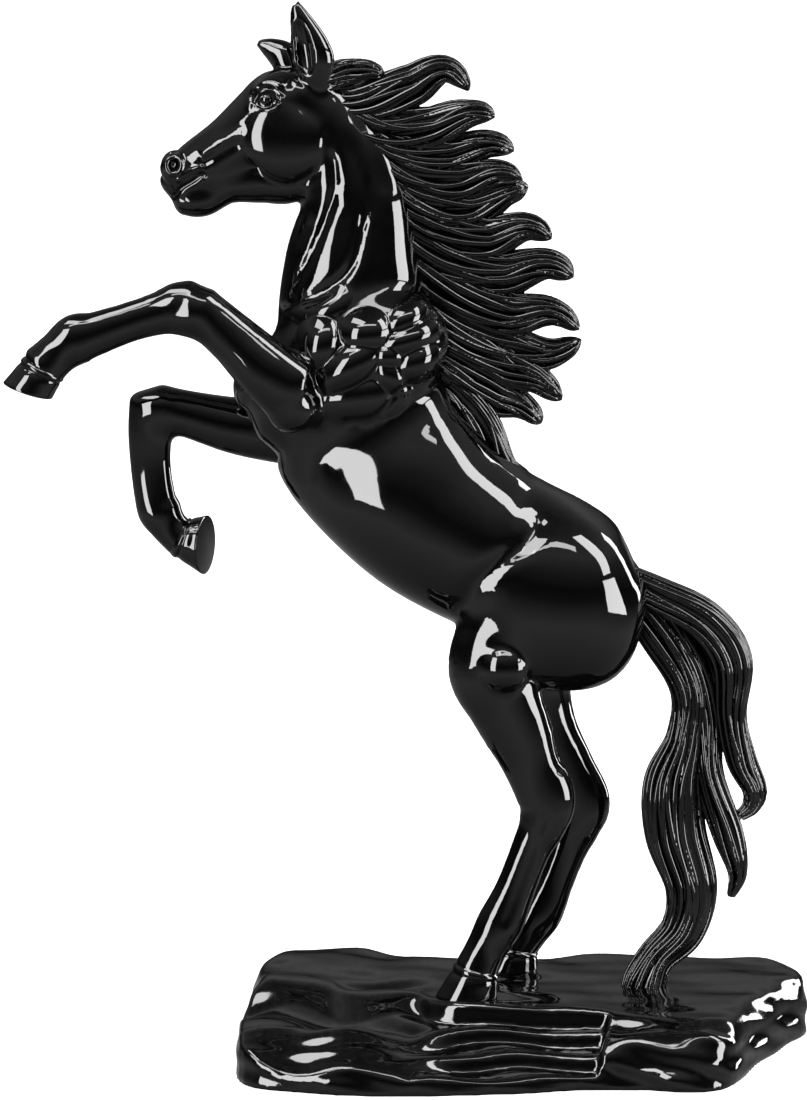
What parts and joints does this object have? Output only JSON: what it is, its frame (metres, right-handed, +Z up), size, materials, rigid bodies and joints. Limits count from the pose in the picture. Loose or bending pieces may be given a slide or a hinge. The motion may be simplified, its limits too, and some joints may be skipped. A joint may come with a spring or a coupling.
{
  "type": "rearing horse statue",
  "caption": "Glossy black table-top statue of a rearing horse with streaming mane and a tail that meets its rocky base, where it rests by its own weight.",
  "frame": {"origin": "middle of the statue's underside, where the rock base rests", "axes": "+Z up; the horse rears towards -X and its near side, the one on show, faces -Y"},
  "size_m": [0.2906, 0.1126, 0.3841],
  "materials": {
    "black_gloss_resin": "cast resin, lacquered deep black to a high gloss"
  },
  "bodies": {
    "root": {"rearing_horse": "black_gloss_resin", "rock_base": "black_gloss_resin"}
  },
  "joints": []
}
